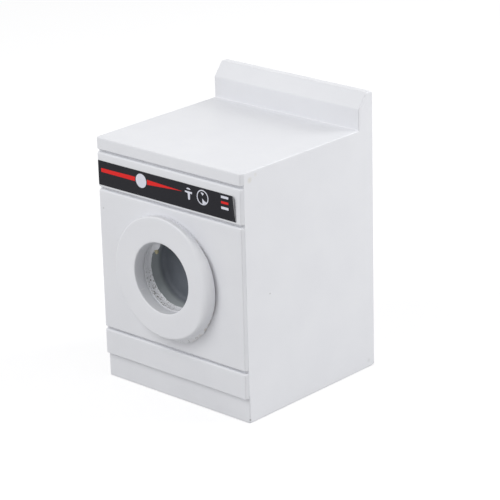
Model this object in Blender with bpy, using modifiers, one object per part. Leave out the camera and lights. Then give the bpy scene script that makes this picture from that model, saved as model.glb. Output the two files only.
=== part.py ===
"""A doll's-house washing machine of painted wood, with a round door on a fine pin hinge.

Metres, +Z up. The front faces -Y and the origin is the middle of the underside of the cabinet.
"""
import bpy
import bmesh
from math import cos, pi, radians, sin
from mathutils import Matrix, Vector

MM = 0.001

# Overall sizes of the cabinet
WIDTH = 49.0 * MM
DEPTH = 49.2 * MM
WORKTOP_HEIGHT = 64.9 * MM
SPLASH_HEIGHT = 9.2 * MM

# Boards of the carcass
SIDE_THICK = 3.0 * MM
BACK_THICK = 2.0 * MM
BASE_THICK = 3.0 * MM
WORKTOP_THICK = 3.1 * MM
FRONT_BOARD_THICK = 1.2 * MM
GLUE_GAP = 0.15 * MM
EDGE_ROUND = 0.3 * MM

# Upstand at the back of the worktop
SPLASH_DEPTH = 5.5 * MM
SPLASH_TOP_DEPTH = 2.6 * MM
SPLASH_FACE_HEIGHT = 5.6 * MM

# Facing boards on the front, from the floor up
FACING_THICK = 0.9 * MM
FACING_INSET = 0.35 * MM
GROOVE = 0.75 * MM
TOE_KICK_HEIGHT = 6.7 * MM
PLINTH_HEIGHT = 6.7 * MM
CONTROL_HEIGHT = 9.1 * MM

# Sticker on the control rail
LABEL_HEIGHT = 6.4 * MM
LABEL_THICK = 0.12 * MM
LABEL_LIFT = 0.05 * MM
LABEL_LEFT_MARGIN = 0.3 * MM
LABEL_RIGHT_MARGIN = 1.4 * MM
LABEL_BOTTOM_MARGIN = 0.6 * MM
LABEL_CORNER = 1.2 * MM

# Porthole and its door
PORTHOLE_RISE = 0.9 * MM
PORTHOLE_RADIUS = 9.05 * MM
RING_RADIUS = 15.9 * MM
RING_BORE_STEP = 0.15 * MM
RING_THICK = 3.2 * MM
RING_GAP = 0.3 * MM
RING_OUTER_ROUND = 1.2 * MM
RING_BORE_ROUND = 0.35 * MM
RING_BACK_ROUND = 0.15 * MM

# Pin hinge at the left of the door
HINGE_HEIGHT = 7.0 * MM
HINGE_AXIS_OUT = 0.15 * MM
HINGE_AXIS_STANDOFF = 0.75 * MM
KNUCKLE_RADIUS = 0.6 * MM
KNUCKLE_GAP = 0.2 * MM
PIN_RADIUS = 0.22 * MM
PIN_CLEARANCE = 0.1 * MM
PIN_HEAD_RADIUS = 0.5 * MM
PIN_HEAD_THICK = 0.25 * MM
LEAF_THICK = 0.25 * MM
LEAF_WIDTH = 3.4 * MM
LEAF_CLEARANCE = 0.2 * MM
LEAF_LIFT = 0.1 * MM
BRAD_RADIUS = 0.25 * MM
BRAD_CLEARANCE = 0.1 * MM
BRAD_LENGTH = 0.8 * MM
BRAD_EDGE = 0.9 * MM

# Drum cup behind the porthole
DRUM_SETBACK = 0.25 * MM
DRUM_WALL = 0.8 * MM
DRUM_DEPTH = 4.6 * MM
DRUM_CORNER = 1.3 * MM
DRUM_FLANGE_WIDTH = 2.4 * MM
DRUM_FLANGE_THICK = 0.9 * MM

# Every cut runs past the faces it opens by this much
OVERRUN = 1.0 * MM
# Points closer than this are one point
MERGE = 0.00001

# Places worked out from the sizes
FRONT_Y = -DEPTH / 2
BACK_Y = DEPTH / 2
SPLASH_FRONT_Y = BACK_Y - SPLASH_DEPTH
CARCASS_Y = FRONT_Y + FACING_THICK + GLUE_GAP
FRONT_BOARD_BACK_Y = CARCASS_Y + FRONT_BOARD_THICK
INNER_X = WIDTH / 2 - SIDE_THICK - GLUE_GAP
FACING_END_X = WIDTH / 2 - FACING_INSET
WORKTOP_UNDER_Z = WORKTOP_HEIGHT - WORKTOP_THICK
PLINTH_TOP_Z = TOE_KICK_HEIGHT + PLINTH_HEIGHT
PANEL_BOTTOM_Z = PLINTH_TOP_Z + GROOVE
CONTROL_TOP_Z = WORKTOP_UNDER_Z - GROOVE
CONTROL_BOTTOM_Z = CONTROL_TOP_Z - CONTROL_HEIGHT
PANEL_TOP_Z = CONTROL_BOTTOM_Z - GROOVE
PORTHOLE_Z = (PANEL_BOTTOM_Z + PANEL_TOP_Z) / 2 + PORTHOLE_RISE
RING_BORE_RADIUS = PORTHOLE_RADIUS + RING_BORE_STEP
RING_BACK_Y = FRONT_Y - RING_GAP
DRUM_RADIUS = PORTHOLE_RADIUS + DRUM_SETBACK
DRUM_FLANGE_RADIUS = DRUM_RADIUS + DRUM_WALL + DRUM_FLANGE_WIDTH
HINGE_X = -RING_RADIUS - HINGE_AXIS_OUT
HINGE_Y = FRONT_Y - HINGE_AXIS_STANDOFF
KNUCKLE_HEIGHT = (HINGE_HEIGHT - 2 * KNUCKLE_GAP) / 3
PANEL_LEAF_Y = FRONT_Y - LEAF_LIFT - LEAF_THICK
DOOR_LEAF_Y = PANEL_LEAF_Y - LEAF_CLEARANCE - LEAF_THICK
LEAF_ROOF_Y = DOOR_LEAF_Y - LEAF_LIFT
BARREL_ROOF_Y = HINGE_Y - KNUCKLE_RADIUS - LEAF_CLEARANCE

# Sides of the round pieces
RING_SIDES = 96
DRUM_SIDES = 64
FINE_SIDES = 20
ROUND_STEPS = 6
# Edges that turn by more than this many degrees are sharp
SHARP_ANGLE = 40

WHITE_PAINT = ("white_paint", (0.83, 0.84, 0.85), 0.45, 0.0)
BARE_WOOD = ("bare_wood", (0.60, 0.45, 0.28), 0.7, 0.0)
LABEL_BLACK = ("label_black", (0.025, 0.025, 0.03), 0.35, 0.0)
DRUM_GREY = ("drum_grey", (0.075, 0.08, 0.09), 0.5, 0.0)
BRASS = ("brass", (0.78, 0.60, 0.28), 0.3, 1.0)
STEEL = ("steel", (0.62, 0.62, 0.64), 0.3, 1.0)


def clear_scene():
    for obj in list(bpy.data.objects):
        bpy.data.objects.remove(obj, do_unlink=True)


def new_collection(name):
    collection = bpy.data.collections.new(name)
    bpy.context.scene.collection.children.link(collection)
    return collection


def material(spec, suffix):
    """A plain Principled material for one piece."""
    name, colour, roughness, metallic = spec
    mat = bpy.data.materials.new(name + "_" + suffix)
    mat.use_nodes = True
    shader = mat.node_tree.nodes["Principled BSDF"]
    shader.inputs["Base Color"].default_value = (*colour, 1.0)
    shader.inputs["Roughness"].default_value = roughness
    shader.inputs["Metallic"].default_value = metallic
    mat.diffuse_color = (*colour, 1.0)
    return mat


def add_object(name, data, collection, spec=None):
    obj = bpy.data.objects.new(name, data)
    collection.objects.link(obj)
    if spec:
        data.materials.append(material(spec, name))
    return obj


def box_mesh(name, low, high):
    """A box between two corners, with its own centre as the mesh's origin."""
    size = Vector(high) - Vector(low)
    bm = bmesh.new()
    bmesh.ops.create_cube(bm, size=1.0)
    bmesh.ops.scale(bm, vec=size, verts=bm.verts)
    mesh = bpy.data.meshes.new(name)
    bm.to_mesh(mesh)
    bm.free()
    return mesh


def add_box(name, low, high, collection, spec=None):
    obj = add_object(name, box_mesh(name, low, high), collection, spec)
    obj.location = (Vector(low) + Vector(high)) / 2
    return obj


def add_cylinder(name, radius, length, centre, axis, sides, collection, spec=None):
    """A cylinder about X, Y or Z, centred on a point."""
    bm = bmesh.new()
    bmesh.ops.create_cone(
        bm, cap_ends=True, segments=sides, radius1=radius, radius2=radius, depth=length
    )
    turns = {
        "X": Matrix.Rotation(pi / 2, 4, "Y"),
        "Y": Matrix.Rotation(pi / 2, 4, "X"),
        "Z": Matrix.Identity(4),
    }
    bmesh.ops.transform(bm, matrix=turns[axis], verts=bm.verts)
    mesh = bpy.data.meshes.new(name)
    bm.to_mesh(mesh)
    bm.free()
    mesh.shade_smooth()
    mesh.set_sharp_from_angle(angle=radians(SHARP_ANGLE))
    obj = add_object(name, mesh, collection, spec)
    obj.location = centre
    return obj


def as_cutter(obj):
    obj.hide_render = True
    obj.display_type = "WIRE"
    return obj


def cut(obj, cutter):
    boolean = obj.modifiers.new("cut_" + cutter.name, "BOOLEAN")
    boolean.operation = "DIFFERENCE"
    boolean.solver = "EXACT"
    boolean.object = cutter


def join_shape(obj, other):
    boolean = obj.modifiers.new("join_" + other.name, "BOOLEAN")
    boolean.operation = "UNION"
    boolean.solver = "EXACT"
    boolean.object = other


def round_edges(obj, width, segments=2):
    bevel = obj.modifiers.new("rounded_edges", "BEVEL")
    bevel.width = width
    bevel.segments = segments
    bevel.limit_method = "ANGLE"
    bevel.angle_limit = radians(SHARP_ANGLE)


def outline_curve(name, points, thickness, collection, spec=None):
    """A closed flat outline with an even thickness, drawn in its own XY plane."""
    curve = bpy.data.curves.new(name, "CURVE")
    curve.dimensions = "2D"
    curve.fill_mode = "BOTH"
    curve.extrude = thickness / 2
    spline = curve.splines.new("POLY")
    spline.points.add(len(points) - 1)
    for point, (x, y) in zip(spline.points, points):
        point.co = (x, y, 0.0, 1.0)
    spline.use_cyclic_u = True
    return add_object(name, curve, collection, spec)


def arc_points(centre, radius, start, end, steps):
    """Points along an arc, angles in degrees."""
    cx, cy = centre
    angles = [radians(start + (end - start) * step / steps) for step in range(steps + 1)]
    return [(cx + radius * cos(a), cy + radius * sin(a)) for a in angles]


def turned(name, profile, sides, collection, spec=None):
    """A closed profile of (radius, height) turned about the object's Z axis."""
    mesh = bpy.data.meshes.new(name)
    vertices = [(radius, 0.0, height) for radius, height in profile]
    count = len(vertices)
    closed = profile[0][0] > 0 and profile[-1][0] > 0
    edges = [(i, i + 1) for i in range(count - 1)]
    if closed:
        edges.append((count - 1, 0))
    mesh.from_pydata(vertices, edges, [])
    obj = add_object(name, mesh, collection, spec)
    screw = obj.modifiers.new("turned", "SCREW")
    screw.axis = "Z"
    screw.angle = 2 * pi
    screw.steps = sides
    screw.render_steps = sides
    screw.use_merge_vertices = True
    screw.merge_threshold = MERGE
    screw.use_smooth_shade = True
    return obj


def side_outline():
    """Side panel seen from the right: front edge at -Y, splashback profile at the back."""
    return [
        (CARCASS_Y, 0.0),
        (BACK_Y, 0.0),
        (BACK_Y, WORKTOP_HEIGHT + SPLASH_HEIGHT),
        (BACK_Y - SPLASH_TOP_DEPTH, WORKTOP_HEIGHT + SPLASH_HEIGHT),
        (SPLASH_FRONT_Y, WORKTOP_HEIGHT + SPLASH_FACE_HEIGHT),
        (SPLASH_FRONT_Y, WORKTOP_HEIGHT),
        (CARCASS_Y, WORKTOP_HEIGHT),
    ]


def splash_outline():
    """Splashback block between the side panels, behind the worktop and on the back board."""
    return [
        (SPLASH_FRONT_Y, WORKTOP_UNDER_Z),
        (BACK_Y, WORKTOP_UNDER_Z),
        (BACK_Y, WORKTOP_HEIGHT + SPLASH_HEIGHT),
        (BACK_Y - SPLASH_TOP_DEPTH, WORKTOP_HEIGHT + SPLASH_HEIGHT),
        (SPLASH_FRONT_Y, WORKTOP_HEIGHT + SPLASH_FACE_HEIGHT),
    ]


def stand_profile(obj, x):
    """Stands an outline drawn as (y, z) upright, its middle plane at x."""
    obj.matrix_world = Matrix.Translation((x, 0.0, 0.0)) @ Matrix(
        ((0.0, 0.0, 1.0, 0.0), (1.0, 0.0, 0.0, 0.0), (0.0, 1.0, 0.0, 0.0), (0.0, 0.0, 0.0, 1.0))
    )


def weld_and_round(obj, width):
    weld = obj.modifiers.new("welded_caps", "WELD")
    weld.merge_threshold = MERGE
    round_edges(obj, width)


def make_sides(parts):
    for name, side in (("side_panel_left", -1), ("side_panel_right", 1)):
        panel = outline_curve(name, side_outline(), SIDE_THICK, parts, WHITE_PAINT)
        stand_profile(panel, side * (WIDTH - SIDE_THICK) / 2)
        weld_and_round(panel, EDGE_ROUND)


def make_splashback(parts):
    splash = outline_curve("splashback", splash_outline(), 2 * INNER_X, parts, WHITE_PAINT)
    stand_profile(splash, 0.0)
    weld_and_round(splash, EDGE_ROUND)


def make_carcass(parts):
    base = add_box(
        "base_board",
        (-INNER_X, FRONT_BOARD_BACK_Y + GLUE_GAP, 0.0),
        (INNER_X, BACK_Y - BACK_THICK - GLUE_GAP, BASE_THICK),
        parts,
        BARE_WOOD,
    )
    back = add_box(
        "back_board",
        (-INNER_X, BACK_Y - BACK_THICK, 0.0),
        (INNER_X, BACK_Y, WORKTOP_UNDER_Z - GLUE_GAP),
        parts,
        WHITE_PAINT,
    )
    worktop = add_box(
        "worktop",
        (-INNER_X, CARCASS_Y, WORKTOP_UNDER_Z),
        (INNER_X, SPLASH_FRONT_Y - GLUE_GAP, WORKTOP_HEIGHT),
        parts,
        WHITE_PAINT,
    )
    for board in (base, back, worktop):
        round_edges(board, EDGE_ROUND / 2, 1)


def make_front_board(parts, porthole_cutter):
    board = add_box(
        "front_board",
        (-INNER_X, CARCASS_Y, 0.0),
        (INNER_X, FRONT_BOARD_BACK_Y, WORKTOP_UNDER_Z - GLUE_GAP),
        parts,
        WHITE_PAINT,
    )
    cut(board, porthole_cutter)


def add_facing(name, bottom, top, parts):
    """A thin board glued across the front of the carcass, its ends just inside the sides."""
    board = add_box(
        name,
        (-FACING_END_X, FRONT_Y, bottom),
        (FACING_END_X, FRONT_Y + FACING_THICK, top),
        parts,
        WHITE_PAINT,
    )
    round_edges(board, EDGE_ROUND / 2)
    return board


def make_facings(parts, porthole_cutter):
    add_facing("worktop_edge", WORKTOP_UNDER_Z, WORKTOP_HEIGHT, parts)
    add_facing("control_rail", CONTROL_BOTTOM_Z, CONTROL_TOP_Z, parts)
    panel = add_facing("front_panel", PANEL_BOTTOM_Z, PANEL_TOP_Z, parts)
    add_facing("plinth_rail", TOE_KICK_HEIGHT, PLINTH_TOP_Z, parts)
    cut(panel, porthole_cutter)
    return panel


def make_label(parts):
    """Sticker on the control rail, square at its left end and rounded at its right."""
    left = -FACING_END_X + LABEL_LEFT_MARGIN
    right = FACING_END_X - LABEL_RIGHT_MARGIN
    bottom = CONTROL_BOTTOM_Z + LABEL_BOTTOM_MARGIN
    top = bottom + LABEL_HEIGHT
    centre_x = right - LABEL_CORNER
    points = [(left, top), (left, bottom)]
    points += arc_points((centre_x, bottom + LABEL_CORNER), LABEL_CORNER, -90, 0, ROUND_STEPS)
    points += arc_points((centre_x, top - LABEL_CORNER), LABEL_CORNER, 0, 90, ROUND_STEPS)
    label = outline_curve("control_label", points, LABEL_THICK, parts, LABEL_BLACK)
    label.location = (0.0, FRONT_Y - LABEL_LIFT - LABEL_THICK / 2, 0.0)
    label.rotation_euler = (pi / 2, 0.0, 0.0)
    weld = label.modifiers.new("welded_caps", "WELD")
    weld.merge_threshold = MERGE


def ring_profile():
    """Section of the door ring: (radius, distance towards the front from its back face)."""
    outer_centre = (RING_RADIUS - RING_OUTER_ROUND, RING_THICK - RING_OUTER_ROUND)
    outer = arc_points(outer_centre, RING_OUTER_ROUND, 90, 0, 2 * ROUND_STEPS)
    back_centre = (RING_RADIUS - RING_BACK_ROUND, RING_BACK_ROUND)
    back = arc_points(back_centre, RING_BACK_ROUND, 0, -90, 2)
    bore_centre = (RING_BORE_RADIUS + RING_BORE_ROUND, RING_THICK - RING_BORE_ROUND)
    bore = arc_points(bore_centre, RING_BORE_ROUND, 180, 90, ROUND_STEPS // 2)
    return outer + back + [(RING_BORE_RADIUS, 0.0)] + bore


def make_ring(parts, cutters, hinge):
    """The round door, turned, with a mortise at its left for the hinge."""
    ring = turned("door_ring", ring_profile(), RING_SIDES, parts, WHITE_PAINT)
    ring.parent = hinge
    ring.location = (-HINGE_X, RING_BACK_Y - HINGE_Y, PORTHOLE_Z)
    ring.rotation_euler = (pi / 2, 0.0, 0.0)
    half = HINGE_HEIGHT / 2 + KNUCKLE_GAP
    barrel_right = HINGE_X + KNUCKLE_RADIUS + LEAF_CLEARANCE
    leaf_right = HINGE_X + LEAF_WIDTH + LEAF_CLEARANCE
    left = -RING_RADIUS - OVERRUN
    back = RING_BACK_Y + OVERRUN
    for name, right, roof in (
        ("barrel_mortise", barrel_right, BARREL_ROOF_Y),
        ("leaf_mortise", leaf_right, LEAF_ROOF_Y),
    ):
        pocket = add_box(
            name, (left, roof, PORTHOLE_Z - half), (right, back, PORTHOLE_Z + half), cutters
        )
        cut(ring, as_cutter(pocket))
    return ring


def knuckle_bottoms():
    """Bottom of each of the hinge's three knuckles."""
    low = PORTHOLE_Z - HINGE_HEIGHT / 2
    return [low + index * (KNUCKLE_HEIGHT + KNUCKLE_GAP) for index in range(3)]


def add_knuckle(name, bottom, collection):
    centre = (HINGE_X, HINGE_Y, bottom + KNUCKLE_HEIGHT / 2)
    return as_cutter(
        add_cylinder(name, KNUCKLE_RADIUS, KNUCKLE_HEIGHT, centre, "Z", FINE_SIDES, collection)
    )


def make_leaf(name, leaf_y, knuckles, parts, cutters, bore):
    """A hinge leaf: a thin plate with its own knuckles, bored for the pin."""
    bottoms = knuckle_bottoms()
    plate = add_box(
        name,
        (HINGE_X + KNUCKLE_RADIUS + KNUCKLE_GAP, leaf_y, PORTHOLE_Z - HINGE_HEIGHT / 2),
        (HINGE_X + LEAF_WIDTH, leaf_y + LEAF_THICK, PORTHOLE_Z + HINGE_HEIGHT / 2),
        parts,
        BRASS,
    )
    for index in knuckles:
        join_shape(plate, add_knuckle(name + "_knuckle_" + str(index), bottoms[index], cutters))
        tongue = add_box(
            name + "_tongue_" + str(index),
            (HINGE_X, leaf_y, bottoms[index]),
            (HINGE_X + KNUCKLE_RADIUS + 2 * KNUCKLE_GAP, leaf_y + LEAF_THICK,
             bottoms[index] + KNUCKLE_HEIGHT),
            cutters,
        )
        join_shape(plate, as_cutter(tongue))
    cut(plate, bore)
    return plate


def brad_places():
    """Two brads in each leaf, one above the other: (name, x, z)."""
    x = HINGE_X + LEAF_WIDTH - BRAD_EDGE
    reach = HINGE_HEIGHT / 2 - BRAD_EDGE
    return [("lower", x, PORTHOLE_Z - reach), ("upper", x, PORTHOLE_Z + reach)]


def add_brads(name, radius, low_y, high_y, collection, spec=None):
    """A pair of plain brads, or of holes for them, along Y."""
    middle = (low_y + high_y) / 2
    return [
        add_cylinder(name + "_" + place, radius, high_y - low_y, (x, middle, z), "Y",
                     FINE_SIDES, collection, spec)
        for place, x, z in brad_places()
    ]


def make_hinge(parts, cutters, hinge, panel, ring):
    bore = as_cutter(
        add_cylinder(
            "hinge_bore", PIN_RADIUS + PIN_CLEARANCE, HINGE_HEIGHT + 2 * OVERRUN,
            (HINGE_X, HINGE_Y, PORTHOLE_Z), "Z", FINE_SIDES, cutters,
        )
    )
    hole_radius = BRAD_RADIUS + BRAD_CLEARANCE
    panel_end = FRONT_Y + FACING_THICK - 2 * BRAD_CLEARANCE
    panel_holes = add_brads("panel_brad_hole", hole_radius, PANEL_LEAF_Y - LEAF_CLEARANCE / 2,
                            panel_end + BRAD_CLEARANCE, cutters)
    door_end = DOOR_LEAF_Y - BRAD_LENGTH
    door_holes = add_brads("door_brad_hole", hole_radius, door_end - BRAD_CLEARANCE,
                           DOOR_LEAF_Y + LEAF_THICK + LEAF_CLEARANCE / 2, cutters)
    panel_leaf = make_leaf("hinge_leaf_panel", PANEL_LEAF_Y, (0, 2), parts, cutters, bore)
    door_leaf = make_leaf("hinge_leaf_door", DOOR_LEAF_Y, (1,), parts, cutters, bore)
    for holes, pieces in ((panel_holes, (panel_leaf, panel)), (door_holes, (door_leaf, ring))):
        for hole in holes:
            as_cutter(hole)
            for piece in pieces:
                cut(piece, hole)
    add_brads("hinge_brad_panel", BRAD_RADIUS, PANEL_LEAF_Y, panel_end, parts, STEEL)
    door_brads = add_brads(
        "hinge_brad_door", BRAD_RADIUS, door_end, DOOR_LEAF_Y + LEAF_THICK, parts, STEEL
    )
    for piece in [door_leaf] + door_brads:
        place = piece.location.copy()
        piece.parent = hinge
        piece.location = place - hinge.location
    make_pin(parts)


def make_pin(parts):
    """Hinge pin with a flat head at each end."""
    half = HINGE_HEIGHT / 2 + KNUCKLE_GAP
    profile = [
        (0.0, half + PIN_HEAD_THICK),
        (PIN_HEAD_RADIUS, half + PIN_HEAD_THICK),
        (PIN_HEAD_RADIUS, half),
        (PIN_RADIUS, half),
        (PIN_RADIUS, -half),
        (PIN_HEAD_RADIUS, -half),
        (PIN_HEAD_RADIUS, -half - PIN_HEAD_THICK),
        (0.0, -half - PIN_HEAD_THICK),
    ]
    pin = turned("hinge_pin", profile, FINE_SIDES, parts, STEEL)
    pin.location = (HINGE_X, HINGE_Y, PORTHOLE_Z)


def drum_profile():
    """Section of the drum cup: (radius, distance towards the front from its rear face)."""
    mouth = DRUM_WALL + DRUM_DEPTH
    flange_back = mouth - DRUM_FLANGE_THICK
    outer = DRUM_RADIUS + DRUM_WALL
    inner_centre = (DRUM_RADIUS - DRUM_CORNER, DRUM_WALL + DRUM_CORNER)
    outer_round = DRUM_CORNER + DRUM_WALL
    outer_centre = (outer - outer_round, outer_round)
    return (
        [(0.0, DRUM_WALL)]
        + arc_points(inner_centre, DRUM_CORNER, -90, 0, ROUND_STEPS)
        + [(DRUM_RADIUS, mouth), (DRUM_FLANGE_RADIUS, mouth), (DRUM_FLANGE_RADIUS, flange_back)]
        + [(outer, flange_back)]
        + arc_points(outer_centre, outer_round, 0, -90, ROUND_STEPS)
        + [(0.0, 0.0)]
    )


def make_drum(parts):
    """Drum cup, its flange glued to the back of the front board."""
    drum = turned("drum_cup", drum_profile(), DRUM_SIDES, parts, DRUM_GREY)
    rear = FRONT_BOARD_BACK_Y + GLUE_GAP + DRUM_WALL + DRUM_DEPTH
    drum.location = (0.0, rear, PORTHOLE_Z)
    drum.rotation_euler = (pi / 2, 0.0, 0.0)


def build():
    clear_scene()
    parts = new_collection("toy_washing_machine")
    cutters = new_collection("cutters")
    porthole_cutter = as_cutter(
        add_cylinder(
            "porthole_cutter", PORTHOLE_RADIUS,
            FRONT_BOARD_BACK_Y - FRONT_Y + 2 * OVERRUN,
            (0.0, (FRONT_Y + FRONT_BOARD_BACK_Y) / 2, PORTHOLE_Z), "Y", DRUM_SIDES, cutters,
        )
    )
    make_sides(parts)
    make_carcass(parts)
    make_splashback(parts)
    make_front_board(parts, porthole_cutter)
    panel = make_facings(parts, porthole_cutter)
    make_label(parts)
    hinge = bpy.data.objects.new("door_hinge_axis", None)
    parts.objects.link(hinge)
    hinge.location = (HINGE_X, HINGE_Y, 0.0)
    ring = make_ring(parts, cutters, hinge)
    make_hinge(parts, cutters, hinge, panel, ring)
    make_drum(parts)


build()
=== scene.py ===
"""Looks of a doll's-house washing machine of painted wood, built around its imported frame.

Metres, +Z up, in the frame's own coordinates. The front faces -Y.
"""
from math import cos, degrees, exp, pi, radians, sin
import bmesh
import bpy
from mathutils import Euler, Matrix, Vector, noise


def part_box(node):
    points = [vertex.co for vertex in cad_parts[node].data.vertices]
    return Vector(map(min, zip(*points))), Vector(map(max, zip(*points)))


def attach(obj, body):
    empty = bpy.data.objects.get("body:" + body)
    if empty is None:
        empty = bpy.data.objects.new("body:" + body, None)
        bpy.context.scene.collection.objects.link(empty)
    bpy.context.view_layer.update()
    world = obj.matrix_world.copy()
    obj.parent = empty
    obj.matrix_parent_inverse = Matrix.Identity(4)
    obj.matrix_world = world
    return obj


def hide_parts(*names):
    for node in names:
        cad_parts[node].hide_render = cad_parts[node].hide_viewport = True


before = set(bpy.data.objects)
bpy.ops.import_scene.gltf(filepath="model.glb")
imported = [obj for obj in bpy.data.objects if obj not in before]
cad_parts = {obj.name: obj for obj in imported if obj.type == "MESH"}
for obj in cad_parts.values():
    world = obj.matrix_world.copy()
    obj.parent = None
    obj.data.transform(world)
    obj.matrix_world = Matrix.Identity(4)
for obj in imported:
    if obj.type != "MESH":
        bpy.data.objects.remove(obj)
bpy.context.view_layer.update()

MM = 0.001

# Places read from the frame
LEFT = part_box("side_panel_left")[0].x
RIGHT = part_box("side_panel_right")[1].x
SIDE_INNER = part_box("side_panel_right")[0].x
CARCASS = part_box("side_panel_right")[0].y
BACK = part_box("side_panel_right")[1].y
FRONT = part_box("front_panel")[0].y
BOARD_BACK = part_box("front_board")[1].y
REAR_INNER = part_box("back_board")[0].y
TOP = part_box("worktop")[1].z
WORKTOP_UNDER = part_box("worktop")[0].z
BASE_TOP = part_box("base_board")[1].z
SPLASH_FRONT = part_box("splashback")[0].y
SPLASH_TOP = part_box("splashback")[1].z
TOE_KICK_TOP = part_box("plinth_rail")[0].z
RING_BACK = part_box("door_ring")[1].y
RING_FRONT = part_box("door_ring")[0].y
RING_RADIUS = (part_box("door_ring")[1].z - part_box("door_ring")[0].z) / 2
PORTHOLE_Z = (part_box("door_ring")[1].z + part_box("door_ring")[0].z) / 2
LABEL_LOW, LABEL_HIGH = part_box("control_label")
PIN_LOW, PIN_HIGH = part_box("hinge_pin")
HINGE_X = (PIN_LOW.x + PIN_HIGH.x) / 2
HINGE_Y = (PIN_LOW.y + PIN_HIGH.y) / 2
DRUM_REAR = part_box("drum_cup")[1].y

# Shape of the splashback
SPLASH_TOP_DEPTH = 2.6 * MM
SPLASH_FACE_TOP = TOP + 5.6 * MM
PAINT_FILLET = 0.35 * MM

# Rounded edges of the painted boards
EDGE = 0.3 * MM
FOOT_EDGE = 0.45 * MM
FOOT_CORNER = 1.2 * MM
CORNER_STEPS = 8
CROWN_STEPS = 4
FACING_TOP_EDGE = 0.5 * MM
FACING_UNDER_EDGE = 0.22 * MM
FACING_END_EDGE = 0.28 * MM
END_SLANT_LENGTH = 0.6 * MM
END_STEP = 0.04 * MM
SPLASH_EDGE = 0.35 * MM
SPLASH_CORNER = 0.9 * MM
EDGE_STEPS = 5
SHARP_ANGLE = 40

# Boards are cut into cells this large, so that they can be slightly uneven
CELL = 2.0 * MM
CELL_MARGIN = 0.9 * MM
WAVE_LENGTH = 9.0 * MM
WAVE_HEIGHT = 0.035 * MM
RIPPLE_LENGTH = 4.0 * MM
RIPPLE_HEIGHT = 0.006 * MM
FOOT_FADE = 2.0 * MM

# Porthole through the front panel and the board behind it
PORTHOLE_RADIUS = 9.15 * MM
PORTHOLE_SIDES = 180
PORTHOLE_WOBBLE = 0.05 * MM
PORTHOLE_RAG = 0.2 * MM
PORTHOLE_LIP = 0.25 * MM
OVERRUN = 1.0 * MM

# Rear edge of the porthole: one flake stands in, at this angle from +X
FLAKE_ANGLE = 140
FLAKE_SPREAD = 11
FLAKE_REACH = 1.1 * MM
# A bead of glue beside the flake
BEAD_PLACE = (-7.05 * MM, -22.15 * MM, 37.7 * MM)
BEAD_SIZE = (0.6 * MM, 0.45 * MM, 0.75 * MM)

# Section of the door ring: its edge is soft at the right and crisp elsewhere
RING_BORE_RADIUS = 9.2 * MM
RING_CRISP_ROUND = 0.55 * MM
RING_SOFT_ROUND = 2.3 * MM
RING_BORE_ROUND = 0.3 * MM
RING_BACK_ROUND = 0.1 * MM
RING_BACK_SOFT_ROUND = 0.4 * MM
RING_TAPER = 0.85 * MM
BORE_FILL = 0.5
RING_LEAN_FRONT = 0.25 * MM
RING_LEAN_BACK = -0.2 * MM
RING_SIDES = 288
# Paint fills the joint behind the ring, apart from its right side, and swells below it
JOINT_LEFT_OPEN = 0.03 * MM
SWELL_REACH = 1.3 * MM
SWELL_HEIGHT = 1.3 * MM
RAG_LENGTH = 0.9 * MM
OUTER_WALL_STEPS = 10
# Pockets in the ring for the hinge
POCKET_ROOM = 0.2 * MM
BARREL_POCKET_WIDTH = 0.8 * MM
LEAF_POCKET_DEPTH = 0.35 * MM
# Shorter than anything modelled
TINY = 1e-9

# Section of the drum cup
DRUM_RADIUS = 9.3 * MM
DRUM_WALL = 0.8 * MM
DRUM_CORNER = 1.3 * MM
DRUM_FLANGE_WIDTH = 2.4 * MM
DRUM_FLANGE_THICK = 0.9 * MM
DRUM_SIDES = 160

# Sticker and the marks printed on it, as (x, z) places on the front
LABEL_THICK = 0.12 * MM
LABEL_UPPER_CORNER = 0.9 * MM
LABEL_LOWER_CORNER = 0.2 * MM
INK_RISE = 0.012 * MM
INK_DEPTH = 0.05 * MM
INK_CELL = 0.8 * MM

# Camera, as a place round the object
CAMERA_TARGET = (-6.076 * MM, 11.153 * MM, 28.599 * MM)
CAMERA_AZIMUTH = 42.712
CAMERA_ELEVATION = 20.207
CAMERA_ROLL = -1.511
CAMERA_DISTANCE = 619.28 * MM
CAMERA_SENSOR = 36.0
CAMERA_LENS = 171.469

WHITE = (1.0, 1.0, 1.0, 1.0)


def new_collection(name):
    collection = bpy.data.collections.new(name)
    bpy.context.scene.collection.children.link(collection)
    return collection


PIECES = new_collection("dressed_washing_machine")
STUDIO = new_collection("studio")


# Shader helpers

def add_node(tree, kind, inputs=None, **settings):
    """A shader node. An input given as a socket is linked, and any other value is set."""
    made = tree.nodes.new(kind)
    for name, value in settings.items():
        setattr(made, name, value)
    for key, value in (inputs or {}).items():
        if isinstance(value, bpy.types.NodeSocket):
            tree.links.new(value, made.inputs[key])
        else:
            made.inputs[key].default_value = value
    return made


def new_material(name, roughness, **fixed):
    """A material with its Principled shader and the object's own coordinates."""
    mat = bpy.data.materials.new(name)
    mat.use_nodes = True
    tree = mat.node_tree
    shader = tree.nodes["Principled BSDF"]
    shader.inputs["Roughness"].default_value = roughness
    for key, value in fixed.items():
        shader.inputs[key.replace("_", " ")].default_value = value
    place = add_node(tree, "ShaderNodeTexCoord").outputs["Object"]
    return mat, tree, shader, place


def rgba(colour):
    return (*colour, 1.0)


def noise_value(tree, place, size, detail=2.0, stretch=None):
    """Noise from 0 to 1 whose lumps are about size across."""
    if stretch:
        place = add_node(tree, "ShaderNodeVectorMath", {0: place, 1: stretch},
                         operation="MULTIPLY").outputs["Vector"]
    return add_node(tree, "ShaderNodeTexNoise",
                    {"Vector": place, "Scale": 1.0 / size, "Detail": detail}).outputs["Fac"]


def remap(tree, value, low, high, to_low=0.0, to_high=1.0):
    return add_node(
        tree, "ShaderNodeMapRange",
        {"Value": value, "From Min": low, "From Max": high, "To Min": to_low, "To Max": to_high},
    ).outputs["Result"]


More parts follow.
